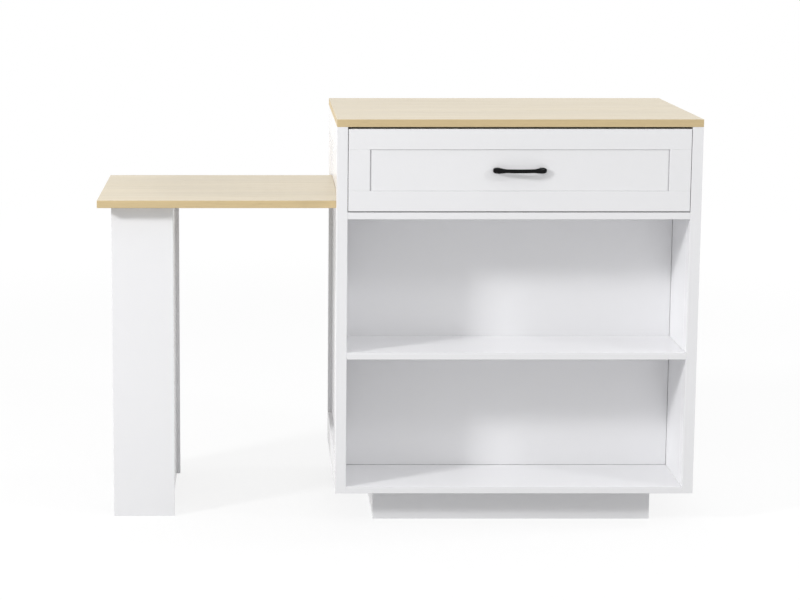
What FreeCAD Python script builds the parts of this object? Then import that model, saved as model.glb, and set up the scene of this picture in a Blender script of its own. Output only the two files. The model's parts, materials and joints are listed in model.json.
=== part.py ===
"""Kitchen island with a pull-out side table, one drawer and open shelves.

Millimetres, +Z up.  The origin is on the floor at the centre of the plinth.
The front, with the drawer and the open bays, faces -Y.  The side table is on
the left, towards -X, drawn here fully pulled out.
"""
import FreeCAD, Part
import math
import os

# ---- carcass -------------------------------------------------------------
body_width = 800.0            # outer faces of the two sides
body_depth = 486.0            # front plane to the back of the rear posts
counter_height = 914.0        # floor to worktop surface
worktop_thickness = 17.0
worktop_rear_overhang = 14.0
board_thickness = 15.0        # shelves, floor, deck, divider
post_width = 24.0             # corner posts, seen from the front
front_post_depth = 35.0
rear_post_depth = 18.0
side_recess = 9.0             # side panel behind the face of the posts
upper_side_recess = 7.0       # the same above the table's slot
side_top_rail_height = 60.0
side_bottom_rail_height = 70.0
front_bay_depth = 183.0
lower_bay_height = 291.0
upper_bay_height = 299.5
dowel_radius = 4.0
dowel_length = 30.0
dowel_panel_depth = 9.0       # part of the dowel inside the side panel
dowel_edge_distance = 40.0
dowel_clearance = 0.05
worktop_bracket_leg = 20.0
worktop_bracket_distance = 60.0   # bracket to the corner posts

# ---- plinth --------------------------------------------------------------
plinth_height = 73.0
plinth_side_inset = 87.0
plinth_end_inset = 48.0
glue_block_leg = 35.0

# ---- drawer --------------------------------------------------------------
drawer_top_gap = 4.4
drawer_bottom_gap = 2.5
drawer_side_gap = 1.4
front_panel_thickness = 13.0
frame_strip_thickness = 5.0   # raised frame on the drawer front
frame_rail_width = 45.0
frame_stile_width = 47.0
box_board_thickness = 12.0
box_length = 400.0
box_height = 120.0
box_bottom_thickness = 5.0
box_bottom_rise = 8.0         # underside of the box bottom above the box's edge
box_groove_depth = 5.0
box_floor_clearance = 4.0     # box above the hold-down battens

# ---- drawer runners, three nested channels -------------------------------
runner_length = 350.0
runner_height = 46.0
runner_set_back = 5.0         # runner's front end behind the box's front
runner_space = 13.0           # side panel to drawer box
channel_wall = 1.2
channel_gap = 0.7             # running gap between nested channels
outer_channel_depth = 10.0
runner_head_space = 2.8       # room for screw heads inside the outer channel
screw_head_radius = 3.5
screw_head_height = 1.8
screw_radius = 1.5
screw_length = 12.0
screw_clearance = 0.05
runner_screw_end = 40.0       # screw to the runner's end

# ---- drawer pull ---------------------------------------------------------
pull_spacing = 96.0           # between the two fixing screws
pull_projection = 26.0
pull_foot_width = 22.0
pull_foot_height = 14.0
pull_foot_length = 6.0
pull_grip_width = 9.0
pull_grip_thickness = 7.0
pull_end_overhang = 3.0       # grip runs past the screws
pull_screw_radius = 2.0
pull_screw_head_radius = 4.5
pull_screw_head_height = 2.5
pull_screw_bite = 5.0
pull_hole_clearance = 0.25

# ---- side table ----------------------------------------------------------
leaf_thickness = 17.0
leaf_reach = 529.0            # beyond the outer face of the side
leaf_engagement = 209.0       # kept inside the side's outer face
leaf_edge_clearance = 1.0
glide_height = 4.2
glide_width = 20.0
glide_edge_distance = 60.0
leaf_running_gap = 0.3
hold_down_gap = 1.0
hold_down_thickness = 10.0
hold_down_width = 35.0
guide_thickness = 12.0
stop_width = 20.0
stop_length = 100.0
stop_height = 12.0
slot_top_gap = 2.0

# ---- box-shaped leg under the leaf ---------------------------------------
leg_board_thickness = 15.0
leg_wing_width = 138.0
leg_end_overhang = 29.0       # leaf past the leg at its free end
leg_edge_overhang = 34.0      # leaf past the leg at front and back
leg_web_inset = 8.0
bracket_leg = 30.0
bracket_width = 20.0
bracket_thickness = 2.0
bracket_corner_gap = 60.0     # bracket to the leg's corner
bracket_screw_radius = 1.75
bracket_screw_length = 10.0
bracket_head_radius = 3.5
bracket_head_height = 2.0

# ---- planes worked out from the sizes above -------------------------------
left_x = -body_width / 2
right_x = body_width / 2
inner_left_x = left_x + post_width
inner_right_x = right_x - post_width
front_y = -body_depth / 2
rear_y = body_depth / 2
post_rear_y = front_y + front_post_depth
rear_post_y = rear_y - rear_post_depth
floor_z = plinth_height
floor_top_z = floor_z + board_thickness
shelf_z = floor_top_z + lower_bay_height
shelf_top_z = shelf_z + board_thickness
deck_z = shelf_top_z + upper_bay_height
deck_top_z = deck_z + board_thickness
worktop_z = counter_height - worktop_thickness
divider_y = front_y + front_bay_depth
divider_rear_y = divider_y + board_thickness

leaf_z = deck_top_z + glide_height + leaf_running_gap
leaf_top_z = leaf_z + leaf_thickness
leaf_front_y = post_rear_y + leaf_edge_clearance
leaf_rear_y = rear_post_y - leaf_edge_clearance
leaf_left_x = left_x - leaf_reach
leaf_right_x = left_x + leaf_engagement
hold_down_z = leaf_top_z + hold_down_gap
hold_down_top_z = hold_down_z + hold_down_thickness

drawer_z = deck_top_z + drawer_bottom_gap
drawer_top_z = worktop_z - drawer_top_gap
drawer_left_x = inner_left_x + drawer_side_gap
drawer_right_x = inner_right_x - drawer_side_gap
panel_y = front_y + frame_strip_thickness
box_front_y = panel_y + front_panel_thickness
box_rear_y = box_front_y + box_length
box_z = hold_down_top_z + box_floor_clearance
box_top_z = box_z + box_height
box_left_x = inner_left_x + runner_space
box_right_x = inner_right_x - runner_space
box_bottom_z = box_z + box_bottom_rise
runner_z = (box_z + box_top_z) / 2
runner_y = box_front_y + runner_set_back
pull_z = (drawer_z + drawer_top_z) / 2

leg_left_x = leaf_left_x + leg_end_overhang
leg_right_x = leg_left_x + leg_wing_width
leg_front_y = leaf_front_y + leg_edge_overhang
leg_rear_y = leaf_rear_y - leg_edge_overhang
web_right_x = leg_right_x - leg_web_inset
web_left_x = web_right_x - leg_board_thickness


def box(x0, x1, y0, y1, z0, z1):
    """Board between two planes along each axis."""
    return Part.makeBox(x1 - x0, y1 - y0, z1 - z0, FreeCAD.Vector(x0, y0, z0))


def rod(radius, length, start, direction):
    """Round bar from start along direction."""
    return Part.makeCylinder(radius, length, FreeCAD.Vector(*start), FreeCAD.Vector(*direction))


def mirrored(shape):
    """The same piece on the other side of the plane x = 0."""
    return shape.mirror(FreeCAD.Vector(0, 0, 0), FreeCAD.Vector(1, 0, 0))


def screw(start, direction, radius, length, head_radius, head_height):
    """Pan-head screw: start is under the head, direction points to the tip."""
    back = [-value for value in direction]
    return rod(radius, length, start, direction).fuse(rod(head_radius, head_height, start, back))


def angle_bracket(corner_x, x_sign, y, top_z, leg):
    """Angle bracket under a board, its upright flange standing at corner_x."""
    y0, y1 = y - bracket_width / 2, y + bracket_width / 2
    plate_x = sorted((corner_x, corner_x + x_sign * leg))
    flange_x = sorted((corner_x, corner_x + x_sign * bracket_thickness))
    plate = box(plate_x[0], plate_x[1], y0, y1, top_z - bracket_thickness, top_z)
    flange = box(flange_x[0], flange_x[1], y0, y1, top_z - leg, top_z)
    return plate.fuse(flange).removeSplitter()


def group(solids):
    """Several separate solids kept as one node."""
    return Part.makeCompound(solids)


def save(name, shape):
    shape.exportStep("parts/" + name + ".step")


# ---- carcass -------------------------------------------------------------
def make_posts():
    posts = {
        "front": (front_y, post_rear_y),
        "rear": (rear_post_y, rear_y),
    }
    for end, (y0, y1) in posts.items():
        post = box(left_x, inner_left_x, y0, y1, floor_z, worktop_z)
        save("post_" + end + "_left", post)
        save("post_" + end + "_right", mirrored(post))


def runner_screw_places():
    """Distances along the runner, and its height, of the fixing screws."""
    first = runner_y + runner_screw_end
    last = runner_y + runner_length - runner_screw_end
    return [(first, runner_z), (last, runner_z)]


def dowelled_boards():
    """Boards carried by the sides: their y and z planes."""
    return {
        "cabinet_floor": (front_y, rear_y, floor_z, floor_top_z),
        "shelf_front": (front_y, divider_y, shelf_z, shelf_top_z),
        "shelf_rear": (divider_rear_y, rear_y, shelf_z, shelf_top_z),
        "drawer_deck": (front_y, rear_y, deck_z, deck_top_z),
    }


def dowel_places(y0, y1, z0, z1):
    """Two dowels at each end of a board, where it meets the side panel."""
    first = max(y0, post_rear_y) + dowel_edge_distance
    last = min(y1, rear_post_y) - dowel_edge_distance
    return [(first, (z0 + z1) / 2), (last, (z0 + z1) / 2)]


def dowel(y, z, clearance=0.0):
    """Dowel at the left end of a board, or with a clearance the hole for it."""
    start = inner_left_x - dowel_panel_depth - clearance
    return rod(dowel_radius + clearance, dowel_length + 2 * clearance, (start, y, z), (1, 0, 0))


def side_board(recess, z0, z1):
    """Left side board between the posts, drilled for the dowels and runner screws it meets."""
    board = box(left_x + recess, inner_left_x, post_rear_y, rear_post_y, z0, z1)
    for planes in dowelled_boards().values():
        for y, z in dowel_places(*planes):
            if z0 < z < z1:
                board = board.cut(dowel(y, z, dowel_clearance))
    for y, z in runner_screw_places():
        if z0 < z < z1:
            hole = rod(screw_radius + screw_clearance, screw_length + screw_clearance,
                       (inner_left_x, y, z), (-1, 0, 0))
            board = board.cut(hole)
    return board


def make_sides():
    slot_top_z = leaf_top_z + slot_top_gap
    save("side_panel_left_lower", side_board(side_recess, floor_z, deck_top_z))
    save("side_panel_left_upper", side_board(upper_side_recess, slot_top_z, worktop_z))
    save("side_panel_right", mirrored(side_board(side_recess, floor_z, worktop_z)))


def make_side_rails():
    top_z = worktop_z - side_top_rail_height
    bottom_z = floor_z + side_bottom_rail_height
    bottom = box(left_x, left_x + side_recess, post_rear_y, rear_post_y, floor_z, bottom_z)
    top_left = box(left_x, left_x + upper_side_recess, post_rear_y, rear_post_y, top_z, worktop_z)
    top = box(left_x, left_x + side_recess, post_rear_y, rear_post_y, top_z, worktop_z)
    save("side_rail_bottom_left", bottom)
    save("side_rail_bottom_right", mirrored(bottom))
    save("side_rail_top_left", top_left)
    save("side_rail_top_right", mirrored(top))


def make_boards():
    save("worktop", box(left_x, right_x, front_y, rear_y + worktop_rear_overhang, worktop_z, counter_height))
    save("divider", box(inner_left_x, inner_right_x, divider_y, divider_rear_y, floor_top_z, deck_z))
    save("back_apron", box(inner_left_x, inner_right_x, rear_post_y, rear_y, deck_top_z, worktop_z))
    dowels = []
    for name, (y0, y1, z0, z1) in dowelled_boards().items():
        board = box(inner_left_x, inner_right_x, y0, y1, z0, z1)
        for y, z in dowel_places(y0, y1, z0, z1):
            hole = dowel(y, z, dowel_clearance)
            board = board.cut(hole).cut(mirrored(hole))
            dowels.extend([dowel(y, z), mirrored(dowel(y, z))])
        save(name, board)
    save("carcass_dowels", group(dowels))


def make_worktop_brackets():
    """Angle brackets that hold the worktop to the side panels above the drawer."""
    brackets = []
    for y in (post_rear_y + worktop_bracket_distance, rear_post_y - worktop_bracket_distance):
        bracket = angle_bracket(inner_left_x, 1, y, worktop_z, worktop_bracket_leg)
        brackets.extend([bracket, mirrored(bracket)])
    save("worktop_brackets", group(brackets))


# ---- plinth --------------------------------------------------------------
def make_plinth():
    x0 = left_x + plinth_side_inset
    x1 = right_x - plinth_side_inset
    y0 = front_y + plinth_end_inset
    y1 = rear_y - plinth_end_inset
    t = board_thickness
    save("plinth_front", box(x0, x1, y0, y0 + t, 0, plinth_height))
    save("plinth_rear", box(x0, x1, y1 - t, y1, 0, plinth_height))
    side = box(x0, x0 + t, y0 + t, y1 - t, 0, plinth_height)
    save("plinth_side_left", side)
    save("plinth_side_right", mirrored(side))
    save("plinth_cross_rail", box(-t / 2, t / 2, y0 + t, y1 - t, 0, plinth_height))
    save("plinth_glue_blocks", group(glue_blocks(x0 + t, x1 - t, y0 + t, y1 - t)))


def glue_blocks(x0, x1, y0, y1):
    """Three-cornered block in each corner of the plinth."""
    blocks = []
    for x, sign_x in ((x0, 1), (x1, -1)):
        for y, sign_y in ((y0, 1), (y1, -1)):
            corner = FreeCAD.Vector(x, y, 0)
            along_x = FreeCAD.Vector(x + sign_x * glue_block_leg, y, 0)
            along_y = FreeCAD.Vector(x, y + sign_y * glue_block_leg, 0)
            face = Part.Face(Part.makePolygon([corner, along_x, along_y, corner]))
            blocks.append(face.extrude(FreeCAD.Vector(0, 0, plinth_height)))
    return blocks


# ---- drawer --------------------------------------------------------------
def pull_screw_holes(y0, y1):
    holes = []
    for x in (-pull_spacing / 2, pull_spacing / 2):
        holes.append(rod(pull_screw_radius + pull_hole_clearance, y1 - y0, (x, y0, pull_z), (0, 1, 0)))
    return holes


def drilled_for_pull(board, y0, y1):
    for hole in pull_screw_holes(y0, y1):
        board = board.cut(hole)
    return board


def make_drawer_front():
    panel = box(drawer_left_x, drawer_right_x, panel_y, box_front_y, drawer_z, drawer_top_z)
    save("drawer_front_panel", drilled_for_pull(panel, panel_y, box_front_y))
    rails = {
        "drawer_frame_top": (drawer_top_z - frame_rail_width, drawer_top_z),
        "drawer_frame_bottom": (drawer_z, drawer_z + frame_rail_width),
    }
    for name, (z0, z1) in rails.items():
        save(name, box(drawer_left_x, drawer_right_x, front_y, panel_y, z0, z1))
    stile = box(drawer_left_x, drawer_left_x + frame_stile_width, front_y, panel_y,
                drawer_z + frame_rail_width, drawer_top_z - frame_rail_width)
    save("drawer_frame_left", stile)
    save("drawer_frame_right", mirrored(stile))


def box_bottom(extra=0.0):
    """Bottom board of the drawer, let into the four box boards."""
    inset = box_board_thickness - box_groove_depth
    return box(box_left_x + inset, box_right_x - inset,
               box_front_y + inset, box_rear_y - inset,
               box_bottom_z - extra, box_bottom_z + box_bottom_thickness + extra)


def make_drawer_box():
    t = box_board_thickness
    groove = box_bottom()
    side = box(box_left_x, box_left_x + t, box_front_y, box_rear_y, box_z, box_top_z).cut(groove)
    for y, z in runner_screw_places():
        side = side.cut(rod(screw_radius + screw_clearance, t, (box_left_x, y, z), (1, 0, 0)))
    save("drawer_side_left", side)
    save("drawer_side_right", mirrored(side))
    front = box(box_left_x + t, box_right_x - t, box_front_y, box_front_y + t, box_z, box_top_z).cut(groove)
    save("drawer_box_front", drilled_for_pull(front, box_front_y, box_front_y + t))
    save("drawer_box_back", box(box_left_x + t, box_right_x - t, box_rear_y - t, box_rear_y,
                                box_z, box_top_z).cut(groove))
    save("drawer_bottom", box_bottom())


def channel(x_web, x_edge, half_height):
    """Channel along y: its web stands at x_web, its flanges run to x_edge."""
    lo, hi = sorted((x_web, x_edge))
    y0, y1 = runner_y, runner_y + runner_length
    solid = box(lo, hi, y0, y1, runner_z - half_height, runner_z + half_height)
    if x_edge > x_web:
        lo = lo + channel_wall
    else:
        hi = hi - channel_wall
    inner = half_height - channel_wall
    return solid.cut(box(lo, hi, y0, y1, runner_z - inner, runner_z + inner))


def make_runners():
    nest = channel_wall + channel_gap
    outer_half = runner_height / 2
    outer_edge_x = inner_left_x + outer_channel_depth
    middle_web_x = inner_left_x + channel_wall + runner_head_space
    inner_flange_x = middle_web_x + nest
    outer = channel(inner_left_x, outer_edge_x, outer_half)
    middle = channel(middle_web_x, outer_edge_x, outer_half - nest)
    inner = channel(box_left_x, inner_flange_x, outer_half - 2 * nest)
    cabinet_screws = []
    drawer_screws = []
    for y, z in runner_screw_places():
        hole = screw_radius + screw_clearance
        outer = outer.cut(rod(hole, channel_wall, (inner_left_x, y, z), (1, 0, 0)))
        inner = inner.cut(rod(hole, channel_wall, (box_left_x, y, z), (-1, 0, 0)))
        cabinet_screws.append(screw((inner_left_x + channel_wall, y, z), (-1, 0, 0), screw_radius,
                                    screw_length + channel_wall, screw_head_radius, screw_head_height))
        drawer_screws.append(screw((box_left_x - channel_wall, y, z), (1, 0, 0), screw_radius,
                                   box_board_thickness, screw_head_radius, screw_head_height))
    save("runner_outer_left", outer)
    save("runner_outer_right", mirrored(outer))
    save("runner_middle_left", middle)
    save("runner_middle_right", mirrored(middle))
    save("runner_inner_left", inner)
    save("runner_inner_right", mirrored(inner))
    save("runner_screws_cabinet", group(cabinet_screws + [mirrored(s) for s in cabinet_screws]))
    save("runner_screws_drawer", group(drawer_screws + [mirrored(s) for s in drawer_screws]))


# ---- drawer pull ---------------------------------------------------------
def oval_wire(centre, half_a, half_b):
    """Oval through the ends of its two half axes, the longer one first."""
    return Part.Wire([Part.Ellipse(centre + half_a, centre + half_b, centre).toShape()])


def grip_section(x, y, angle):
    """Outline across the grip at one point of its bow."""
    across = FreeCAD.Vector(-math.sin(angle), math.cos(angle), 0)
    return oval_wire(FreeCAD.Vector(x, y, pull_z),
                     FreeCAD.Vector(0, 0, pull_grip_width / 2),
                     across * (pull_grip_thickness / 2))


def pull_foot(x):
    """Oval foot between the drawer and the grip."""
    outline = oval_wire(FreeCAD.Vector(x, panel_y, pull_z),
                        FreeCAD.Vector(pull_foot_width / 2, 0, 0),
                        FreeCAD.Vector(0, 0, pull_foot_height / 2))
    return Part.Face(outline).extrude(FreeCAD.Vector(0, -pull_foot_length - pull_grip_thickness / 2, 0))


def pull_grip():
    """Oval bar bent to an arc that stands off the drawer in the middle."""
    half = pull_spacing / 2 + pull_end_overhang
    end_y = panel_y - pull_foot_length - pull_grip_thickness / 2
    crown_y = panel_y - pull_projection + pull_grip_thickness / 2
    rise = end_y - crown_y
    radius = (half * half + rise * rise) / (2 * rise)
    start = FreeCAD.Vector(-half, end_y, pull_z)
    crown = FreeCAD.Vector(0, crown_y, pull_z)
    end = FreeCAD.Vector(half, end_y, pull_z)
    path = Part.Wire([Part.Arc(start, crown, end).toShape()])
    sweep = math.asin(half / radius)
    return path.makePipeShell([grip_section(-half, end_y, -sweep)], True, False)


def make_pull():
    screw_places = (-pull_spacing / 2, pull_spacing / 2)
    pull = pull_grip().multiFuse([pull_foot(x) for x in screw_places]).removeSplitter()
    screws = []
    head_y = box_front_y + box_board_thickness
    thread = head_y - panel_y + pull_screw_bite
    for x in screw_places:
        bore = rod(pull_screw_radius + screw_clearance, pull_screw_bite + screw_clearance,
                   (x, panel_y, pull_z), (0, -1, 0))
        pull = pull.cut(bore)
        screws.append(screw((x, head_y, pull_z), (0, -1, 0), pull_screw_radius, thread,
                            pull_screw_head_radius, pull_screw_head_height))
    save("drawer_pull", pull)
    save("pull_screws", group(screws))


# ---- side table and what guides it ---------------------------------------
def make_leaf_guides():
    batten_y = post_rear_y - guide_thickness
    save("leaf_guide_front", box(inner_left_x, inner_right_x, batten_y, post_rear_y, deck_top_z, hold_down_z))
    front_edge = batten_y + hold_down_width
    rear_edge = rear_post_y - hold_down_width
    save("hold_down_front", box(inner_left_x, inner_right_x, batten_y, front_edge, hold_down_z, hold_down_top_z))
    save("hold_down_rear", box(inner_left_x, inner_right_x, rear_edge, rear_post_y, hold_down_z, hold_down_top_z))
    stop_x = leaf_right_x - stop_width - leaf_running_gap
    save("leaf_stop_bar", box(stop_x - stop_width, stop_x, front_edge, rear_edge, hold_down_z, hold_down_top_z))
    strips = []
    for y in (leaf_front_y + glide_edge_distance, leaf_rear_y - glide_edge_distance - glide_width):
        strips.append(box(inner_left_x, inner_right_x, y, y + glide_width, deck_top_z, deck_top_z + glide_height))
    save("leaf_glide_strips", group(strips))


def bracket_places():
    """Places along y of the brackets in the top of the leg."""
    return (leg_front_y + leg_board_thickness + bracket_corner_gap,
            leg_rear_y - leg_board_thickness - bracket_corner_gap)


def bracket_screws(radius, length, head_radius, head_height):
    """Screws of the leg's brackets: those up into the leaf, then those into the web."""
    leaf_screws = []
    web_screws = []
    middle = (bracket_leg + bracket_thickness) / 2
    for y in bracket_places():
        leaf_start = (web_left_x - middle, y, leaf_z - bracket_thickness)
        web_start = (web_left_x - bracket_thickness, y, leaf_z - middle)
        leaf_screws.append(screw(leaf_start, (0, 0, 1), radius, length, head_radius, head_height))
        web_screws.append(screw(web_start, (1, 0, 0), radius, length, head_radius, head_height))
    return leaf_screws, web_screws


def bracket_holes():
    """Space for the shanks of the bracket screws, in the leaf and in the web."""
    radius = bracket_screw_radius + screw_clearance
    return bracket_screws(radius, bracket_screw_length + screw_clearance, radius, screw_clearance)


def make_leaf():
    leaf = box(leaf_left_x, leaf_right_x, leaf_front_y, leaf_rear_y, leaf_z, leaf_top_z)
    save("table_leaf", leaf.cut(group(bracket_holes()[0])))
    save("leaf_stop_block", box(leaf_right_x - stop_width, leaf_right_x, -stop_length / 2, stop_length / 2,
                                leaf_top_z, leaf_top_z + stop_height))


def make_leg():
    t = leg_board_thickness
    web = box(web_left_x, web_right_x, leg_front_y + t, leg_rear_y - t, 0, leaf_z)
    save("leg_wing_front", box(leg_left_x, leg_right_x, leg_front_y, leg_front_y + t, 0, leaf_z))
    save("leg_wing_rear", box(leg_left_x, leg_right_x, leg_rear_y - t, leg_rear_y, 0, leaf_z))
    save("leg_web", web.cut(group(bracket_holes()[1])))


def make_leg_brackets():
    """Angle brackets that hold the leg to the leaf, and their screws."""
    holes = group(bracket_holes()[0] + bracket_holes()[1])
    brackets = []
    for y in bracket_places():
        brackets.append(angle_bracket(web_left_x, -1, y, leaf_z, bracket_leg).cut(holes))
    leaf_screws, web_screws = bracket_screws(bracket_screw_radius, bracket_screw_length,
                                             bracket_head_radius, bracket_head_height)
    save("leg_brackets", group(brackets))
    save("leg_bracket_screws", group(leaf_screws + web_screws))


def main():
    os.makedirs("parts", exist_ok=True)
    make_posts()
    make_sides()
    make_side_rails()
    make_boards()
    make_worktop_brackets()
    make_plinth()
    make_drawer_front()
    make_drawer_box()
    make_runners()
    make_pull()
    make_leaf_guides()
    make_leaf()
    make_leg()
    make_leg_brackets()


main()
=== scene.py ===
import json
import math

import bmesh
import bpy
from bpy.props import FloatProperty, FloatVectorProperty, IntProperty, PointerProperty
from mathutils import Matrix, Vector


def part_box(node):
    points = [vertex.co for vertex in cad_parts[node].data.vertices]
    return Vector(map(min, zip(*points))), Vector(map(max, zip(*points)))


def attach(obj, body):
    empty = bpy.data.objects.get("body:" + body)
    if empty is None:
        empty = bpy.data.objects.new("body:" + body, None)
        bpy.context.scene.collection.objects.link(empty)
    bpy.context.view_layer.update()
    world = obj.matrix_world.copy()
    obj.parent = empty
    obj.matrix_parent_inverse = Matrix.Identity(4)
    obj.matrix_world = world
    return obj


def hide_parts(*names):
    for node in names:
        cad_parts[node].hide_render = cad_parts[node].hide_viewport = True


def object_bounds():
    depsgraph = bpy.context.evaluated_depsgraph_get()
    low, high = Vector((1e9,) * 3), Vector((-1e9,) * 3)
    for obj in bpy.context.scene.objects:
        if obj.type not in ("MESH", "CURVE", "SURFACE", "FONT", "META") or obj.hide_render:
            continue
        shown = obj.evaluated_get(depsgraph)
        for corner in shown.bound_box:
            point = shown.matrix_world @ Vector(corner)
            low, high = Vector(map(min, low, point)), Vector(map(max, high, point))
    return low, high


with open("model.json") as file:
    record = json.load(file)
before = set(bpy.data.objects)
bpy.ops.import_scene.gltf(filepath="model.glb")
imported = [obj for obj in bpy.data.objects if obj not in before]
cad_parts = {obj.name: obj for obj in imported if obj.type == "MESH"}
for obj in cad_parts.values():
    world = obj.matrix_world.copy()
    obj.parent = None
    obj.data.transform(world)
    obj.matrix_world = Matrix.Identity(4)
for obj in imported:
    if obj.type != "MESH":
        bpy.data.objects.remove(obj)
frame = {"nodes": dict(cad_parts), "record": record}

bl_info = {
    "name": "Kitchen island finishes",
    "version": (1, 0, 0),
    "blender": (4, 5, 0),
    "location": "3D View > Sidebar > Island",
    "description": "Board edges, pull, screws, fittings, finishes and studio of a kitchen island",
    "category": "Object",
}

SLOT_OF_NODE = {part["node"]: part["material_slot"] for part in frame["record"]["subparts"]}
BODY_OF_NODE = {
    node: body for body, nodes in frame["record"]["behaviour"]["bodies"].items() for node in nodes
}
PULL_LOW, PULL_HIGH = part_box("drawer_pull")
PANEL_LOW, PANEL_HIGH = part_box("drawer_front_panel")
BOUNDS_LOW, BOUNDS_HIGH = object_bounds()

BOARD_SLOTS = ("white_board", "oak_board", "plain_wood")
PLAIN_NODES = ("carcass_dowels", "plinth_glue_blocks")
SCREW_NODES = ("runner_screws_cabinet", "runner_screws_drawer", "pull_screws", "leg_bracket_screws")
RUNNER_NODES = tuple(node for node in SLOT_OF_NODE if node.startswith(("runner_outer", "runner_middle",
                                                                       "runner_inner")))
UP = Vector((0.0, 0.0, 1.0))
NEAR = 0.0001                    # points closer than this lie in one plane
SHARP = math.radians(60)         # faces that meet at more than this make an edge
SMOOTH = math.radians(35)        # and up to this they shade as one surface
LYING = 0.7                      # share of a normal that points up or down on a board's flat faces

# Drawer pull: its feet are ovals, this much wider than high, whose outline changes along their reach.
FOOT_RATIO = 1.5
FOOT_REACH = 1.35                # from the drawer to the middle of the grip's end, in grip thicknesses
FOOT_PROFILE = ((0.0, 1.0), (0.12, 1.0), (0.3, 0.93), (0.75, 0.93), (1.1, 0.98), (1.35, 0.8))

# Screw heads, in head radii and head heights. The cross recess follows lines of the head's grid.
HEAD_LINES = (0.12, 0.17, 0.35, 0.54, 0.6, 0.8, 1.0)
RECESS_HALF_WIDTH = 0.12
RECESS_HALF_LENGTH = 0.54
RECESS_DEPTH = 0.55
CROWN_RADIUS = 0.72
CROWN_FALL = 0.16
HEAD_RIM = ((0.9, 0.5), (1.0, 0.2), (1.0, 0.0))

# Screw threads, in thread radii but for the smallest pitch.
THREAD_PITCH = 0.45
SMALLEST_PITCH = 0.0006
THREAD_ROOT = 0.82
CORE = 0.8
POINT_LENGTH = 2.0
POINT_RADIUS = 0.06
BLUNT_LENGTH = 0.3
BLUNT_RADIUS = 0.55


# ---- node trees -------------------------------------------------------------
class Value:
    """A socket's value in a node tree. Arithmetic on it adds Math nodes."""

    def __init__(self, finish, socket):
        self.finish = finish
        self.socket = socket

    def math(self, operation, *terms):
        return self.finish.node("ShaderNodeMath", {"operation": operation}, dict(enumerate(terms)))

    def __add__(self, other):
        return self.math("ADD", self, other)

    def __sub__(self, other):
        return self.math("SUBTRACT", self, other)

    def __rsub__(self, other):
        return self.math("SUBTRACT", other, self)

    def __mul__(self, other):
        return self.math("MULTIPLY", self, other)

    __radd__ = __add__
    __rmul__ = __mul__

    def largest(self, other):
        return self.math("MAXIMUM", self, other)

    def between(self, low, high):
        """0 below low, 1 above high and a smooth step between them."""
        settings = {"interpolation_type": "SMOOTHSTEP"}
        return self.finish.node("ShaderNodeMapRange", settings, {"Value": self, 1: low, 2: high})


class Finish:
    """The node tree of one material or of the world."""

    def __init__(self, tree):
        self.tree = tree
        tree.nodes.clear()

    def node(self, kind, settings=None, inputs=None, output=0):
        """Adds a node: its settings first, then the values or links of its sockets."""
        made = self.tree.nodes.new(kind)
        for name, value in (settings or {}).items():
            setattr(made, name, value)
        for name, value in (inputs or {}).items():
            if isinstance(value, Value):
                self.tree.links.new(value.socket, made.inputs[name])
            else:
                made.inputs[name].default_value = value
        return Value(self, made.outputs[output]) if len(made.outputs) else made

    def place(self):
        """The point on the surface in the object's own metres."""
        return self.node("ShaderNodeTexCoord", output="Object")

    def stretched(self, place, along):
        """Place squeezed along each axis, so that a pattern runs long where along is small."""
        return self.node("ShaderNodeVectorMath", {"operation": "MULTIPLY"}, {0: place, 1: along})

    def noise(self, place, scale, detail=2.0, roughness=0.5):
        inputs = {"Vector": place, "Scale": scale, "Detail": detail, "Roughness": roughness}
        return self.node("ShaderNodeTexNoise", None, inputs)

    def mix(self, amount, first, second):
        """Colour mix from first to second."""
        inputs = {0: amount, 6: first, 7: second}
        return self.node("ShaderNodeMix", {"data_type": "RGBA"}, inputs, output=2)

    def bump(self, height, distance, strength=1.0):
        inputs = {"Height": height, "Distance": distance, "Strength": strength}
        return self.node("ShaderNodeBump", None, inputs)

    def surface(self, shader):
        self.node("ShaderNodeOutputMaterial", None, {"Surface": shader})

    def principled(self, **inputs):
        named = {name.replace("_", " "): value for name, value in inputs.items()}
        self.surface(self.node("ShaderNodeBsdfPrincipled", None, named))


def new_finish(name):
    """A new material's node tree, and the material."""
    material = bpy.data.materials.new(name + "_finish")
    material.use_nodes = True
    return Finish(material.node_tree), material


def rgba(colour):
    return (*colour, 1.0)


def scaled(colour, factor):
    return tuple(channel * factor for channel in colour)


# ---- finishes ---------------------------------------------------------------
def white_board_finish(settings):
    """Satin white laminate: a faint cloud in its tone and a fine pebbled skin."""
    finish, material = new_finish("white_board")
    place = finish.place()
    cloud = finish.noise(place, 4.0, 3.0)
    pebble = finish.noise(place, 900.0, 1.0)
    shaded = rgba(scaled(settings.white, 0.975))
    finish.principled(
        Base_Color=finish.mix(cloud, rgba(settings.white), shaded),
        Roughness=0.17 + 0.08 * pebble,
        Normal=finish.bump(pebble, 0.00002),
    )
    return material


def oak_grain(finish, place):
    """Long grain along X: broad bands, fine lines and short pores, each from 0 to 1."""
    bands = finish.noise(finish.stretched(place, (0.9, 14.0, 14.0)), 1.0, 4.0, 0.55)
    lines = finish.noise(finish.stretched(place, (3.0, 210.0, 210.0)), 1.0, 3.0, 0.6)
    pores = finish.noise(finish.stretched(place, (28.0, 900.0, 900.0)), 1.0, 1.0)
    return bands.between(0.3, 0.7), lines.between(0.35, 0.65), pores.between(0.6, 0.72)


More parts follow.
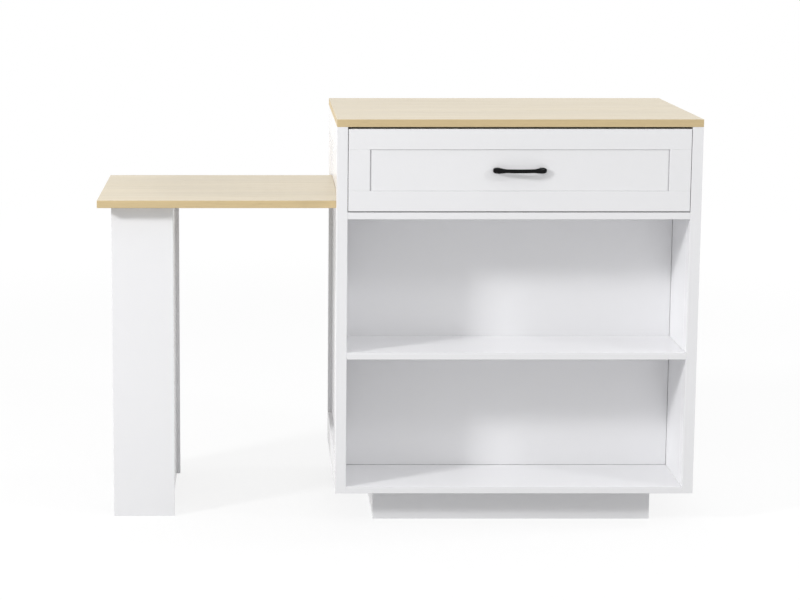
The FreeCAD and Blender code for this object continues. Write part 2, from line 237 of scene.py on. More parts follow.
def oak_face_finish(settings):
    """Pale oak laminate on the flat faces. Its colour is paler than the edge strip's: partly the print,
    partly painted reflection of the white surroundings.
    """
    finish, material = new_finish("oak_board")
    bands, lines, pores = oak_grain(finish, finish.place())
    light = rgba(settings.oak)
    dark = rgba(scaled(settings.oak, 0.86))
    tone = finish.mix(0.55 * bands + 0.35 * lines, light, dark)
    finish.principled(
        Base_Color=finish.mix(0.5 * pores, tone, rgba(scaled(settings.oak, 0.7))),
        Roughness=0.3 + 0.08 * lines + 0.1 * pores,
        Normal=finish.bump(0.4 * lines - pores, 0.00005),
    )
    return material


def along_edge(finish):
    """The place on an edge strip, turned so that X also runs along the board's left and right ends."""
    place = finish.place()
    facing = finish.node("ShaderNodeTexCoord", output="Normal")
    sideways = finish.node("ShaderNodeSeparateXYZ", None, {0: facing}, output="X")
    x, y, z = (finish.node("ShaderNodeSeparateXYZ", None, {0: place}, output=axis) for axis in "XYZ")
    turned = finish.node("ShaderNodeCombineXYZ", None, {"X": y, "Y": x, "Z": z})
    on_end = (sideways * sideways).between(0.4, 0.6)
    return finish.node("ShaderNodeMix", {"data_type": "VECTOR"}, {0: on_end, 4: place, 5: turned}, output=1)


def oak_edge_finish(settings):
    """Edge strip of the oak boards: the same print, deeper and quieter in colour than the faces, whose
    paler colour is partly painted reflection.
    """
    finish, material = new_finish("oak_edge")
    bands, lines, pores = oak_grain(finish, along_edge(finish))
    light = rgba(settings.oak_edge)
    dark = rgba(scaled(settings.oak_edge, 0.86))
    tone = finish.mix(0.4 * bands + 0.4 * lines, light, dark)
    finish.principled(
        Base_Color=finish.mix(0.35 * pores, tone, rgba(scaled(settings.oak_edge, 0.72))),
        Roughness=0.42 + 0.1 * lines,
        Normal=finish.bump(lines, 0.00004),
    )
    return material


def black_metal_finish(settings):
    """Black satin lacquer on a cast pull."""
    finish, material = new_finish("black_metal")
    place = finish.place()
    cast = finish.noise(place, 500.0, 2.0)
    worn = finish.noise(place, 60.0, 3.0)
    finish.principled(
        Base_Color=finish.mix(worn, rgba(settings.black), rgba(scaled(settings.black, 1.6))),
        Roughness=0.16 + 0.1 * worn,
        Normal=finish.bump(cast, 0.00003),
        Specular_IOR_Level=0.12,
    )
    return material


def zinc_finish(settings):
    """Bright zinc with drawn lines along Y and a cloudy bloom."""
    finish, material = new_finish("zinc_steel")
    place = finish.place()
    drawn = finish.noise(finish.stretched(place, (900.0, 9.0, 900.0)), 1.0, 2.0)
    bloom = finish.noise(place, 90.0, 4.0, 0.65)
    finish.principled(
        Base_Color=finish.mix(bloom, rgba(settings.zinc), rgba(scaled(settings.zinc, 0.8))),
        Metallic=1.0,
        Roughness=0.22 + 0.14 * bloom + 0.06 * drawn,
        Normal=finish.bump(drawn, 0.00001),
    )
    return material


def plain_wood_finish(settings):
    """Planed softwood: rings cut along X, with darker late wood."""
    finish, material = new_finish("plain_wood")
    place = finish.place()
    sway = finish.noise(finish.stretched(place, (2.0, 12.0, 12.0)), 1.0, 2.0)
    rings = finish.noise(finish.stretched(place, (1.5, 160.0, 160.0)), 1.0, 3.0, 0.5)
    late = (rings + 0.3 * sway).between(0.52, 0.72)
    finish.principled(
        Base_Color=finish.mix(late, rgba(settings.softwood), rgba(scaled(settings.softwood, 0.68))),
        Roughness=0.55 + 0.12 * late,
        Normal=finish.bump(late, 0.0001),
    )
    return material


def glide_finish(settings):
    """Slippery plastic of the slide strips, scuffed along the run of the table."""
    finish, material = new_finish("glide_plastic")
    scuffs = finish.noise(finish.stretched(finish.place(), (6.0, 700.0, 700.0)), 1.0, 2.0)
    finish.principled(
        Base_Color=finish.mix(scuffs, rgba(settings.glide), rgba(scaled(settings.glide, 0.9))),
        Roughness=0.28 + 0.2 * scuffs,
        Normal=finish.bump(scuffs, 0.00003),
    )
    return material


MAKERS = {
    "white_board": white_board_finish,
    "oak_board": oak_face_finish,
    "oak_edge": oak_edge_finish,
    "black_metal": black_metal_finish,
    "zinc_steel": zinc_finish,
    "plain_wood": plain_wood_finish,
    "glide_plastic": glide_finish,
}


def finish_of(slot):
    """The material of a slot, made the first time that it is asked for."""
    return bpy.data.materials.get(slot + "_finish") or MAKERS[slot](bpy.context.scene.island_finish)


# ---- meshes -----------------------------------------------------------------
def show(name, mesh, materials, body, nodes=()):
    """Links a piece, gives it its finishes, lets it ride on a body and stand for CAD nodes."""
    piece = bpy.data.objects.new(name, mesh)
    bpy.context.scene.collection.objects.link(piece)
    for material in materials:
        mesh.materials.append(material)
    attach(piece, body)
    if nodes:
        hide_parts(*nodes)
    return piece


def mesh_from(work, name):
    """A mesh from a bmesh, with its normals outwards."""
    bmesh.ops.recalc_face_normals(work, faces=work.faces)
    mesh = bpy.data.meshes.new(name)
    work.to_mesh(mesh)
    work.free()
    return mesh


def ease_edges(work, width, shortest):
    """Rounds the long sharp outer edges of a board by width."""
    sharp = [
        edge for edge in work.edges
        if edge.is_manifold and edge.is_convex
        and edge.calc_length() > shortest
        and edge.calc_face_angle() > SHARP
    ]
    bmesh.ops.bevel(work, geom=sharp, offset=width, segments=3, profile=0.5, affect="EDGES",
                    clamp_overlap=True)


def welded_copy(node, weld=0.00001):
    """A bmesh of a CAD node with shared corners and no edges across its flat faces."""
    work = bmesh.new()
    work.from_mesh(frame["nodes"][node].data)
    bmesh.ops.remove_doubles(work, verts=work.verts, dist=weld)
    bmesh.ops.dissolve_limit(work, angle_limit=math.radians(1), verts=work.verts, edges=work.edges)
    return work


def box_of(points):
    """The lowest and highest corner of the box round some points."""
    low = Vector(min(point[axis] for point in points) for axis in range(3))
    high = Vector(max(point[axis] for point in points) for axis in range(3))
    return low, high


def draw_in(work, margins):
    """Moves a board's outer faces inwards: margins holds a side, such as -X, and a distance."""
    low, high = box_of([vert.co for vert in work.verts])
    for side, distance in margins.items():
        axis = "XYZ".index(side[1])
        face = low[axis] if side[0] == "-" else high[axis]
        shift = distance if side[0] == "-" else -distance
        for vert in work.verts:
            if abs(vert.co[axis] - face) < NEAR:
                vert.co[axis] += shift


def eased_board(node, settings):
    """The board of a node with rounded edges, so that joints between boards show as fine grooves."""
    work = welded_copy(node)
    if node == "divider":
        seam = settings.divider_seam
        draw_in(work, {"-X": seam, "+X": seam, "-Z": seam})
    ease_edges(work, settings.ease, settings.shortest_edge)
    return mesh_from(work, node + "_eased")


def block(work, low, high):
    """Adds a block between two corners to a bmesh."""
    made = bmesh.ops.create_cube(work, size=1.0)["verts"]
    size = high - low
    middle = (low + high) / 2
    for vert in made:
        vert.co = middle + Vector(vert.co[axis] * size[axis] for axis in range(3))


def drawer_field(settings):
    """Thin field board inside the drawer's raised frame, with a shadow groove all round."""
    left_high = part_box("drawer_frame_left")[1]
    right_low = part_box("drawer_frame_right")[0]
    bottom_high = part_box("drawer_frame_bottom")[1]
    top_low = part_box("drawer_frame_top")[0]
    side, edge = settings.field_groove, settings.field_seam
    work = bmesh.new()
    block(work,
          Vector((left_high.x + side, PANEL_LOW.y - settings.field_thickness, bottom_high.z + edge)),
          Vector((right_low.x - side, PANEL_LOW.y, top_low.z - edge)))
    ease_edges(work, settings.ease / 2, settings.shortest_edge)
    return mesh_from(work, "drawer_field")


def mark_board_edges(mesh):
    """Gives the edge faces of a lying board the second material."""
    for face in mesh.polygons:
        face.material_index = 0 if abs(face.normal.z) > LYING else 1


# ---- settings ---------------------------------------------------------------
class IslandFinish(bpy.types.PropertyGroup):
    """Colours of the finishes, in linear light."""

    white: FloatVectorProperty(name="White", description="White laminate", default=(0.92, 0.92, 0.935),
                               subtype="COLOR")
    # The oak colour is paler than the oak edge colour: partly the print, partly painted reflection of the
    # white surroundings on the flat faces.
    oak: FloatVectorProperty(name="Oak", description="Pale oak laminate", default=(0.7, 0.605, 0.435),
                             subtype="COLOR")
    oak_edge: FloatVectorProperty(name="Oak edge", description="Edge strip of the oak boards",
                                  default=(0.7, 0.545, 0.3), subtype="COLOR")
    black: FloatVectorProperty(name="Black", description="Lacquer of the pull",
                               default=(0.002, 0.002, 0.0022), subtype="COLOR")
    zinc: FloatVectorProperty(name="Zinc", description="Runners, brackets and screws",
                              default=(0.72, 0.73, 0.75), subtype="COLOR")
    softwood: FloatVectorProperty(name="Softwood", description="Battens and blocks",
                                  default=(0.72, 0.54, 0.33), subtype="COLOR")
    glide: FloatVectorProperty(name="Glide", description="Slide strips", default=(0.72, 0.72, 0.7),
                               subtype="COLOR")


class IslandBoards(bpy.types.PropertyGroup):
    """How the boards' edges are finished."""

    ease: FloatProperty(name="Ease", description="Radius of the boards' edges", default=0.0007,
                        min=0.0001, unit="LENGTH")
    shortest_edge: FloatProperty(name="Shortest edge", description="Edges shorter than this stay sharp",
                                 default=0.0048, unit="LENGTH")
    divider_seam: FloatProperty(name="Divider seam", description="Gap round the divider", default=0.0006,
                                unit="LENGTH")
    field_thickness: FloatProperty(name="Field thickness", description="Board inside the drawer's frame",
                                   default=0.0028, unit="LENGTH")
    field_groove: FloatProperty(name="Field groove", description="Groove on that board's left and right",
                                default=0.0021, unit="LENGTH")
    field_seam: FloatProperty(name="Field seam", description="Gap above and below that board",
                              default=0.0004, unit="LENGTH")


class IslandPull(bpy.types.PropertyGroup):
    """Shape of the drawer's bow pull."""

    waist: FloatProperty(name="Waist", description="Height of the grip at its middle", default=0.0088,
                         unit="LENGTH")
    thickness: FloatProperty(name="Thickness", description="Grip from front to back", default=0.007,
                             unit="LENGTH")
    flare: FloatProperty(name="Flare", description="Length of each end over which the grip widens",
                         default=0.019, unit="LENGTH")
    land: FloatProperty(name="Land", description="Full-height length at each end of the grip",
                        default=0.006, unit="LENGTH")
    foot_share: FloatProperty(name="Foot share", description="Height of the feet as a share of their room",
                              default=0.92)
    foot_squareness: FloatProperty(name="Foot squareness", description="1 is oval, less is squarer",
                                   default=0.72)
    voxel: FloatProperty(name="Voxel", description="Grain of the cast form before smoothing",
                         default=0.0006, unit="LENGTH")
    stations: IntProperty(name="Stations", description="Outlines along the grip", default=49)
    around: IntProperty(name="Around", description="Points in each outline", default=28)


class IslandHardware(bpy.types.PropertyGroup):
    """Screws, brackets and runners."""

    plate: FloatProperty(name="Plate", description="Thickness of the bracket steel", default=0.002,
                         unit="LENGTH")
    corner: FloatProperty(name="Corner", description="Radius of a bracket's corners", default=0.005,
                          unit="LENGTH")
    bend: FloatProperty(name="Bend", description="Outer radius of a bracket's bend", default=0.0024,
                        unit="LENGTH")
    screw: FloatProperty(name="Screw", description="Diameter of the worktop bracket screws", default=0.003,
                         unit="LENGTH")
    screw_head: FloatProperty(name="Screw head", description="Diameter of their heads", default=0.007,
                              unit="LENGTH")
    screw_length: FloatProperty(name="Screw length", description="Length of those screws", default=0.01,
                                unit="LENGTH")
    runner_bend: FloatProperty(name="Runner bend", description="Radius of the runners' bends",
                               default=0.0004, unit="LENGTH")
    runner_bend_length: FloatProperty(name="Runner bend length",
                                      description="Edges of a runner longer than this are bends",
                                      default=0.3, unit="LENGTH")


class IslandStage(bpy.types.PropertyGroup):
    """Camera, lamps and floor."""

    eye: FloatVectorProperty(name="Eye", description="Where the camera stands",
                             default=(-0.5783, -4.6183, 1.3687), subtype="XYZ", unit="LENGTH")
    pitch: FloatProperty(name="Pitch", description="How far the camera looks down",
                         default=math.radians(8.109), subtype="ANGLE")
    lens: FloatProperty(name="Lens", description="Focal length in millimetres", default=90.78)
    shift_x: FloatProperty(name="Shift X", description="Sideways shift of the picture", default=0.1808)
    shift_y: FloatProperty(name="Shift Y", description="Upward shift of the picture", default=-0.13)
    lamp_distance: FloatProperty(name="Lamp distance", description="From the island to each lamp",
                                 default=5.4, unit="LENGTH")
    lamp_size: FloatProperty(name="Lamp size", description="Side of each square lamp", default=0.6,
                             unit="LENGTH")
    lamp_rise: FloatProperty(name="Lamp rise", description="Height angle of the lamps",
                             default=math.radians(24.5), subtype="ANGLE")
    left_angle: FloatProperty(name="Left angle", description="Left lamp from straight ahead",
                              default=math.radians(60), subtype="ANGLE")
    right_angle: FloatProperty(name="Right angle", description="Right lamp from straight ahead",
                               default=math.radians(63), subtype="ANGLE")
    left_level: FloatProperty(name="Left level", description="Left lamp's light on a face turned to it",
                              default=0.475)
    right_level: FloatProperty(name="Right level", description="Right lamp's light on a face turned to it",
                               default=0.18)
    side_angle: FloatProperty(name="Side angle", description="Side lamp from straight ahead",
                              default=math.radians(96), subtype="ANGLE")
    side_rise: FloatProperty(name="Side rise", description="Height angle of the side lamp",
                             default=math.radians(30), subtype="ANGLE")
    side_level: FloatProperty(name="Side level", description="Side lamp's light on a face turned to it",
                              default=0.2)
    sky_level: FloatProperty(name="Sky level", description="Light from the horizon", default=0.38)
    zenith_level: FloatProperty(name="Zenith level", description="Light from straight above", default=0.93)
    floor_radius: FloatProperty(name="Floor radius", description="Edge of the floor", default=90.0,
                                unit="LENGTH")
    floor_tone: FloatVectorProperty(name="Floor", description="Floor colour", default=(0.5, 0.5, 0.5),
                                    subtype="COLOR")
    floor_near: FloatProperty(name="Floor near", description="Round spot whose floor keeps the shadow",
                              default=2.0, unit="LENGTH")
    floor_far: FloatProperty(name="Floor far", description="Distance from which the floor is plain white",
                             default=5.0, unit="LENGTH")
    floor_white: FloatProperty(name="Floor white", description="Share of plain white on the floor close by",
                               default=0.65)
    floor_lift: FloatProperty(name="Floor lift", description="Brightness of that white", default=1.24)


# ---- boards -----------------------------------------------------------------
class ISLAND_OT_boards(bpy.types.Operator):
    """Shows every board and batten with rounded edges"""

    bl_idname = "island.boards"
    bl_label = "Boards"

    def execute(self, context):
        settings = context.scene.island_boards
        for node, slot in SLOT_OF_NODE.items():
            if slot in BOARD_SLOTS and node not in PLAIN_NODES:
                mesh = eased_board(node, settings)
                materials = [finish_of(slot)]
                if slot == "oak_board":
                    mark_board_edges(mesh)
                    materials.append(finish_of("oak_edge"))
                show(node + "_eased", mesh, materials, BODY_OF_NODE[node], [node])
        show("drawer_field", drawer_field(settings), [finish_of("white_board")], "drawer")
        return {"FINISHED"}


# ---- pull -------------------------------------------------------------------
def rounded(value, squareness):
    """A sine or cosine pushed outwards, which turns an oval into a rounded rectangle."""
    return math.copysign(abs(value) ** squareness, value)


def oval_ring(work, centre, across, half_across, half_up, count, squareness=1.0):
    """Corner points of an oval about centre, in the plane of across and up."""
    ring = []
    for step in range(count):
        turn = 2 * math.pi * step / count
        offset = across * (half_across * rounded(math.cos(turn), squareness))
        offset += UP * (half_up * rounded(math.sin(turn), squareness))
        ring.append(work.verts.new(centre + offset))
    return ring


def skin_rings(work, rings):
    """Faces between neighbouring rings, and a cap on each end."""
    for first, second in zip(rings, rings[1:]):
        for index in range(len(first)):
            after = (index + 1) % len(first)
            work.faces.new((first[index], first[after], second[after], second[index]))
    work.faces.new(rings[0])
    work.faces.new(list(reversed(rings[-1])))


def smooth_step(value):
    """0 to 1 with a level start and end."""
    value = min(max(value, 0.0), 1.0)
    return value * value * (3 - 2 * value)


def half_foot_height(settings):
    """Half the height of the pull's feet, which also sets how far they are in from its ends."""
    return (PULL_HIGH.z - PULL_LOW.z) / 2 * settings.foot_share


def grip_rings(work, settings):
    """Bow of the pull: an arc that stands off furthest in the middle and widens towards its feet."""
    centre_x = (PULL_LOW.x + PULL_HIGH.x) / 2
    centre_z = (PULL_LOW.z + PULL_HIGH.z) / 2
    half_foot = half_foot_height(settings)
    half_span = (PULL_HIGH.x - PULL_LOW.x) / 2 - half_foot
    crown_y = PULL_LOW.y + settings.thickness / 2
    end_y = PANEL_LOW.y - settings.thickness * FOOT_REACH
    rise = end_y - crown_y
    radius = (half_span ** 2 + rise ** 2) / (2 * rise)
    sweep = math.asin(half_span / radius)
    rings = []
    for station in range(settings.stations):
        angle = sweep * (2 * station / (settings.stations - 1) - 1)
        forward = crown_y + radius * (1 - math.cos(angle))
        centre = Vector((centre_x + radius * math.sin(angle), forward, centre_z))
        across = Vector((-math.sin(angle), math.cos(angle), 0.0))
        to_end = radius * (sweep - abs(angle))
        widen = smooth_step(1 - (to_end - settings.land) / settings.flare)
        half_up = settings.waist / 2 + (half_foot - settings.waist / 2) * widen
        rings.append(oval_ring(work, centre, across, settings.thickness / 2, half_up, settings.around))
    return rings


def foot_rings(work, x, settings):
    """Oval foot of the pull, spreading a little where it meets the drawer."""
    centre_z = (PULL_LOW.z + PULL_HIGH.z) / 2
    half_up = half_foot_height(settings)
    across = Vector((1.0, 0.0, 0.0))
    reach = settings.thickness * FOOT_REACH
    rings = []
    for part, widen in FOOT_PROFILE:
        centre = Vector((x, PANEL_LOW.y - reach * part, centre_z))
        rings.append(oval_ring(work, centre, across, half_up * FOOT_RATIO * widen, half_up * widen,
                               settings.around, settings.foot_squareness))
    return rings


def add_modifier(piece, kind, **values):
    modifier = piece.modifiers.new(kind.lower(), kind)
    for name, value in values.items():
        setattr(modifier, name, value)


def settle(piece):
    """Turns a piece's modifiers into its mesh."""
    graph = bpy.context.evaluated_depsgraph_get()
    mesh = bpy.data.meshes.new_from_object(piece.evaluated_get(graph))
    piece.modifiers.clear()
    piece.data = mesh


class ISLAND_OT_pull(bpy.types.Operator):
    """Casts the bow pull as one smooth form with flared feet"""

    bl_idname = "island.pull"
    bl_label = "Pull"

    def execute(self, context):
        settings = context.scene.island_pull
        work = bmesh.new()
        skin_rings(work, grip_rings(work, settings))
        half_width = half_foot_height(settings) * FOOT_RATIO
        for x in (PULL_LOW.x + half_width, PULL_HIGH.x - half_width):
            skin_rings(work, foot_rings(work, x, settings))
        mesh = mesh_from(work, "bow_pull")
        pull = show("bow_pull", mesh, [finish_of("black_metal")], "drawer", ["drawer_pull"])
        add_modifier(pull, "REMESH", mode="VOXEL", voxel_size=settings.voxel)
        add_modifier(pull, "SMOOTH", factor=0.5, iterations=5)
        settle(pull)
        pull.data.shade_smooth()
        return {"FINISHED"}


# ---- screws, brackets and runners --------------------------------------------
def loose_parts(node):
    """Corner points of each separate solid of a node."""
    work = welded_copy(node)
    parts = []
    waiting = set(work.verts)
    while waiting:
        found = {waiting.pop()}
        to_visit = list(found)
        while to_visit:
            vert = to_visit.pop()
            for link in vert.link_edges:
                other = link.other_vert(vert)
                if other not in found:
                    found.add(other)
                    to_visit.append(other)
        waiting -= found
        parts.append([vert.co.copy() for vert in found])
    work.free()
    return sorted(parts, key=lambda points: tuple(round(value, 4) for value in min(points, key=tuple)))


def screw_measures(points):
    """Where a CAD screw sits: the point under its head, its direction, and its four sizes."""
    low, high = box_of(points)
    size = high - low
    axis = max(range(3), key=lambda index: size[index])
    middle = (low + high) / 2

    def radius_at(level):
        close = [point for point in points if abs(point[axis] - level) < 2 * NEAR]
        return max(math.hypot(*(point[other] - middle[other] for other in range(3) if other != axis))
                   for point in close)

    ends = sorted((low[axis], high[axis]), key=radius_at)
    tip, crown = ends
    levels = sorted({round(point[axis], 5) for point in points}, key=lambda level: abs(level - crown))
    seat = levels[1]
    start = middle.copy()
    start[axis] = seat
    direction = Vector((0.0, 0.0, 0.0))
    direction[axis] = 1.0 if tip > seat else -1.0
    return start, direction, radius_at(tip), abs(tip - seat), radius_at(crown), abs(crown - seat)


def disk_point(u, v):
    """A point of the square from -1 to 1 moved onto the round disk."""
    return Vector((u * math.sqrt(1 - v * v / 2), v * math.sqrt(1 - u * u / 2)))


def add_screw(work, start, direction, radius, length, head_radius, head_height, pointed):
    """Adds a pan-head screw with a cross recess and a thread. Start is under its head."""
    side = direction.orthogonal().normalized()
    other = direction.cross(side)

    def place(flat, depth):
        return work.verts.new(start + side * flat.x + other * flat.y + direction * depth)

    lines = [-value for value in reversed(HEAD_LINES)] + [0.0] + list(HEAD_LINES)
    last = len(lines) - 1
    crown = head_radius * CROWN_RADIUS
    grid = {}
    for row, v in enumerate(lines):
        for column, u in enumerate(lines):
            narrow, wide = sorted((abs(u), abs(v)))
            in_cross = narrow <= RECESS_HALF_WIDTH and wide <= RECESS_HALF_LENGTH
            recess = RECESS_DEPTH * head_height if in_cross else 0.0
            swell = head_height * (1 - CROWN_FALL * (u * u + v * v))
            grid[row, column] = place(disk_point(u, v) * crown, recess - swell)
    for row in range(last):
        for column in range(last):
            corners = ((row, column), (row, column + 1), (row + 1, column + 1), (row + 1, column))
            work.faces.new([grid[corner] for corner in corners])
    rim = [(0, column) for column in range(last)] + [(row, last) for row in range(last)]
    rim += [(last, last - column) for column in range(last)] + [(last - row, 0) for row in range(last)]
    ring = [grid[key] for key in rim]
    flats = [disk_point(lines[column], lines[row]).normalized() for row, column in rim]
    profile = [(share * head_radius, -height * head_height) for share, height in HEAD_RIM]
    profile += [(radius, 0.0)]
    pitch = max(THREAD_PITCH * radius, SMALLEST_PITCH)
    for turn in range(int((length - POINT_LENGTH * radius) / pitch)):
        profile += [(radius, (turn + 0.35) * pitch), (THREAD_ROOT * radius, (turn + 0.8) * pitch)]
    end_length, end_radius = (POINT_LENGTH, POINT_RADIUS) if pointed else (BLUNT_LENGTH, BLUNT_RADIUS)
    profile += [(CORE * radius, length - end_length * radius), (end_radius * radius, length)]
    for away, depth in profile:
        following = [place(flat * away, depth) for flat in flats]
        for index in range(len(ring)):
            after = (index + 1) % len(ring)
            work.faces.new((ring[index], ring[after], following[after], following[index]))
        ring = following
    work.faces.new(ring)


def smooth_mesh(work, name):
    """A mesh from a bmesh, smooth but for its sharp edges."""
    mesh = mesh_from(work, name)
    mesh.shade_smooth()
    mesh.set_sharp_from_angle(angle=SMOOTH)
    return mesh


def show_steel(node, work, suffix):
    """Shows a bmesh as the steel piece that stands for a node."""
    name = node + suffix
    mesh = smooth_mesh(work, name)
    show(name, mesh, [finish_of("zinc_steel")], BODY_OF_NODE[node], [node])


def round_bracket(work, settings):
    """Rounds the free corners and the bends of the angle brackets in a bmesh."""
    sharp = [edge for edge in work.edges if edge.is_manifold and edge.calc_face_angle() > SHARP]
    corners = [edge for edge in sharp if edge.is_convex and abs(edge.calc_length() - settings.plate) < NEAR]
    bmesh.ops.bevel(work, geom=corners, offset=settings.corner, segments=6, profile=0.5, affect="EDGES")
    along_y = [
        edge for edge in work.edges
        if edge.is_manifold and edge.calc_face_angle() > SHARP
        and abs((edge.verts[0].co - edge.verts[1].co).normalized().y) > 0.99
        and edge.calc_length() > settings.plate * 3
    ]
    tops = max(vert.co.z for vert in work.verts)
    outer = [edge for edge in along_y
             if edge.is_convex and edge.verts[0].co.z > tops - NEAR
             and min(face.calc_area() for face in edge.link_faces) > settings.plate * 0.012]
    inner = [edge for edge in along_y if not edge.is_convex]
    bmesh.ops.bevel(work, geom=outer, offset=settings.bend, segments=5, profile=0.5, affect="EDGES")
    bmesh.ops.bevel(work, geom=inner, offset=settings.bend / 3, segments=3, profile=0.5, affect="EDGES")


def worktop_bracket_screws(work, settings):
    """Adds the two screws of each worktop bracket: one up into the worktop, one into the side."""
    for points in loose_parts("worktop_brackets"):
        low, high = box_of(points)
        middle = (low + high) / 2
        outwards = Vector((math.copysign(1.0, middle.x), 0.0, 0.0))
        wall = high.x if middle.x > 0 else low.x
        under = Vector((middle.x - outwards.x * settings.plate / 2, middle.y, high.z - settings.plate))
        beside = Vector((wall - outwards.x * settings.plate, middle.y, middle.z - settings.plate / 2))
        radius = settings.screw / 2
        head_radius = settings.screw_head / 2
        for start, direction in ((under, UP), (beside, outwards)):
            add_screw(work, start, direction, radius, settings.screw_length,
                      head_radius, head_radius / 2, True)


class ISLAND_OT_screws(bpy.types.Operator):
    """Turns every screw with a thread, a pan head and a cross recess"""

    bl_idname = "island.screws"
    bl_label = "Screws"

    def execute(self, context):
        for node in SCREW_NODES:
            work = bmesh.new()
            for points in loose_parts(node):
                add_screw(work, *screw_measures(points), node != "pull_screws")
            show_steel(node, work, "_turned")
        return {"FINISHED"}


class ISLAND_OT_brackets(bpy.types.Operator):
    """Presses the angle brackets, with round corners, a bend and their screws"""

    bl_idname = "island.brackets"
    bl_label = "Brackets"

    def execute(self, context):
        settings = context.scene.island_hardware
        for node in ("worktop_brackets", "leg_brackets"):
            work = welded_copy(node)
            round_bracket(work, settings)
            show_steel(node, work, "_pressed")
        work = bmesh.new()
        worktop_bracket_screws(work, settings)
        mesh = smooth_mesh(work, "worktop_bracket_screws")
        show("worktop_bracket_screws", mesh, [finish_of("zinc_steel")], "cabinet")
        return {"FINISHED"}


class ISLAND_OT_runners(bpy.types.Operator):
    """Rolls the drawer runners, with rounded bends along their length"""

    bl_idname = "island.runners"
    bl_label = "Runners"

    def execute(self, context):
        settings = context.scene.island_hardware
        for node in RUNNER_NODES:
            work = welded_copy(node)
            bends = [
                edge for edge in work.edges
                if edge.is_manifold and edge.calc_length() > settings.runner_bend_length
                and edge.calc_face_angle() > SHARP
            ]
            bmesh.ops.bevel(work, geom=bends, offset=settings.runner_bend, segments=3, profile=0.5,
                            affect="EDGES")
            show_steel(node, work, "_rolled")
        return {"FINISHED"}


# ---- CAD nodes that stay -----------------------------------------------------
class ISLAND_OT_fittings(bpy.types.Operator):
    """Gives the fittings that keep their CAD form their finish"""

    bl_idname = "island.fittings"
    bl_label = "Fittings"

    def execute(self, context):
        for node, slot in SLOT_OF_NODE.items():
            mesh = frame["nodes"][node].data
            mesh.materials.clear()
            mesh.materials.append(finish_of(slot))
        return {"FINISHED"}


# ---- stage ------------------------------------------------------------------
def seen_directly(finish):
    """1 for camera, mirror and glass rays, which see the white studio, and 0 for the light's own rays."""
    path = "ShaderNodeLightPath"
    camera = finish.node(path, output="Is Camera Ray")
    glossy = finish.node(path, output="Is Glossy Ray")
    glass = finish.node(path, output="Is Transmission Ray")
    return camera.largest(glossy).largest(glass)


def light_world(settings):
    world = bpy.data.worlds.new("studio")
    world.use_nodes = True
    bpy.context.scene.world = world
    finish = Finish(world.node_tree)
    direction = finish.node("ShaderNodeTexCoord", output="Generated")
    height = finish.node("ShaderNodeSeparateXYZ", None, {0: direction}, output="Z")
    light = settings.sky_level + (settings.zenith_level - settings.sky_level) * height.largest(0.0)
    level = light + (1.0 - light) * seen_directly(finish)
    sky = finish.node("ShaderNodeBackground", None, {"Color": (1, 1, 1, 1), "Strength": level})
    finish.node("ShaderNodeOutputWorld", None, {"Surface": sky})


def lay_floor(settings):
    """Pale floor: it keeps the island's shadow near it and turns plain white further out."""
    work = bmesh.new()
    bmesh.ops.create_circle(work, cap_ends=True, radius=settings.floor_radius, segments=64)
    mesh = mesh_from(work, "floor")
    finish, material = new_finish("studio_floor")
    place = finish.place()
    away = finish.node("ShaderNodeVectorMath", {"operation": "LENGTH"}, {0: place}, output="Value")
    far = away.between(settings.floor_near, settings.floor_far)
    matt = finish.node("ShaderNodeBsdfDiffuse", None, {"Color": rgba(settings.floor_tone)})
    strength = settings.floor_lift - (settings.floor_lift - 1.0) * far
    white = finish.node("ShaderNodeEmission", None, {"Color": (1, 1, 1, 1), "Strength": strength})
    share = seen_directly(finish) * (settings.floor_white + (1.0 - settings.floor_white) * far)
    finish.surface(finish.node("ShaderNodeMixShader", None, {0: share, 1: matt, 2: white}))
    mesh.materials.append(material)
    floor = bpy.data.objects.new("floor", mesh)
    bpy.context.scene.collection.objects.link(floor)


def hang_lamp(name, angle, rise, level, settings):
    """Square lamp at angle to the left or right of straight ahead, aimed at the island."""
    lamp = bpy.data.lights.new(name, "AREA")
    lamp.size = settings.lamp_size
    lamp.energy = level * math.pi ** 2 * settings.lamp_distance ** 2
    piece = bpy.data.objects.new(name, lamp)
    bpy.context.scene.collection.objects.link(piece)
    level_part = math.cos(rise)
    towards = Vector((math.sin(angle) * level_part, -math.cos(angle) * level_part, math.sin(rise)))
    target = Vector((0.0, 0.0, BOUNDS_HIGH.z / 2))
    piece.location = target + towards * settings.lamp_distance
    piece.rotation_euler = towards.to_track_quat("Z", "Y").to_euler()


def place_camera(settings):
    data = bpy.data.cameras.new("camera")
    data.sensor_width = 36.0
    data.lens = settings.lens
    data.shift_x = settings.shift_x
    data.shift_y = settings.shift_y
    camera = bpy.data.objects.new("camera", data)
    camera.location = settings.eye
    camera.rotation_euler = (math.pi / 2 - settings.pitch, 0.0, 0.0)
    bpy.context.scene.collection.objects.link(camera)
    bpy.context.scene.camera = camera


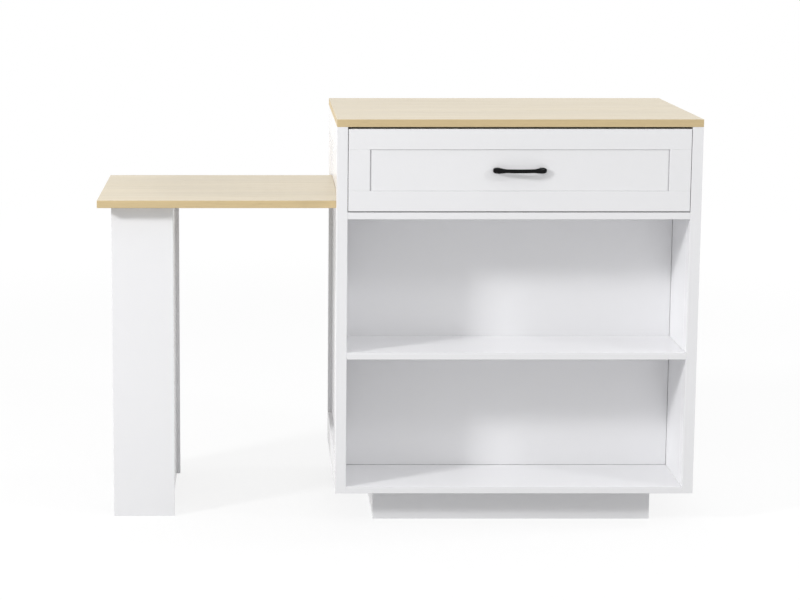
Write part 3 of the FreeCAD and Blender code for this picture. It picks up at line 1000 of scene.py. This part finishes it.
class ISLAND_OT_stage(bpy.types.Operator):
    """Sets up the floor, the lamps, the white surroundings and the camera"""

    bl_idname = "island.stage"
    bl_label = "Stage"

    def execute(self, context):
        settings = context.scene.island_stage
        context.scene.view_settings.view_transform = "Standard"
        light_world(settings)
        lay_floor(settings)
        hang_lamp("left_lamp", -settings.left_angle, settings.lamp_rise, settings.left_level, settings)
        hang_lamp("right_lamp", settings.right_angle, settings.lamp_rise, settings.right_level, settings)
        hang_lamp("side_lamp", settings.side_angle, settings.side_rise, settings.side_level, settings)
        place_camera(settings)
        return {"FINISHED"}


class ISLAND_PT_panel(bpy.types.Panel):
    """Makes the island's pieces one group at a time"""

    bl_idname = "ISLAND_PT_panel"
    bl_label = "Kitchen island"
    bl_space_type = "VIEW_3D"
    bl_region_type = "UI"
    bl_category = "Island"

    def draw(self, context):
        for operator in OPERATORS:
            self.layout.operator(operator.bl_idname)


GROUPS = {
    "island_finish": IslandFinish,
    "island_boards": IslandBoards,
    "island_pull": IslandPull,
    "island_hardware": IslandHardware,
    "island_stage": IslandStage,
}
OPERATORS = (
    ISLAND_OT_fittings,
    ISLAND_OT_boards,
    ISLAND_OT_pull,
    ISLAND_OT_screws,
    ISLAND_OT_brackets,
    ISLAND_OT_runners,
    ISLAND_OT_stage,
)


def register():
    for group in GROUPS.values():
        bpy.utils.register_class(group)
    for name, group in GROUPS.items():
        setattr(bpy.types.Scene, name, PointerProperty(type=group))
    for operator in OPERATORS:
        bpy.utils.register_class(operator)
    bpy.utils.register_class(ISLAND_PT_panel)


def unregister():
    bpy.utils.unregister_class(ISLAND_PT_panel)
    for operator in reversed(OPERATORS):
        bpy.utils.unregister_class(operator)
    for name in GROUPS:
        delattr(bpy.types.Scene, name)
    for group in GROUPS.values():
        bpy.utils.unregister_class(group)


def main():
    register()
    bpy.ops.island.fittings()
    bpy.ops.island.boards()
    bpy.ops.island.pull()
    bpy.ops.island.screws()
    bpy.ops.island.brackets()
    bpy.ops.island.runners()
    bpy.ops.island.stage()


if __name__ == "__main__":
    main()
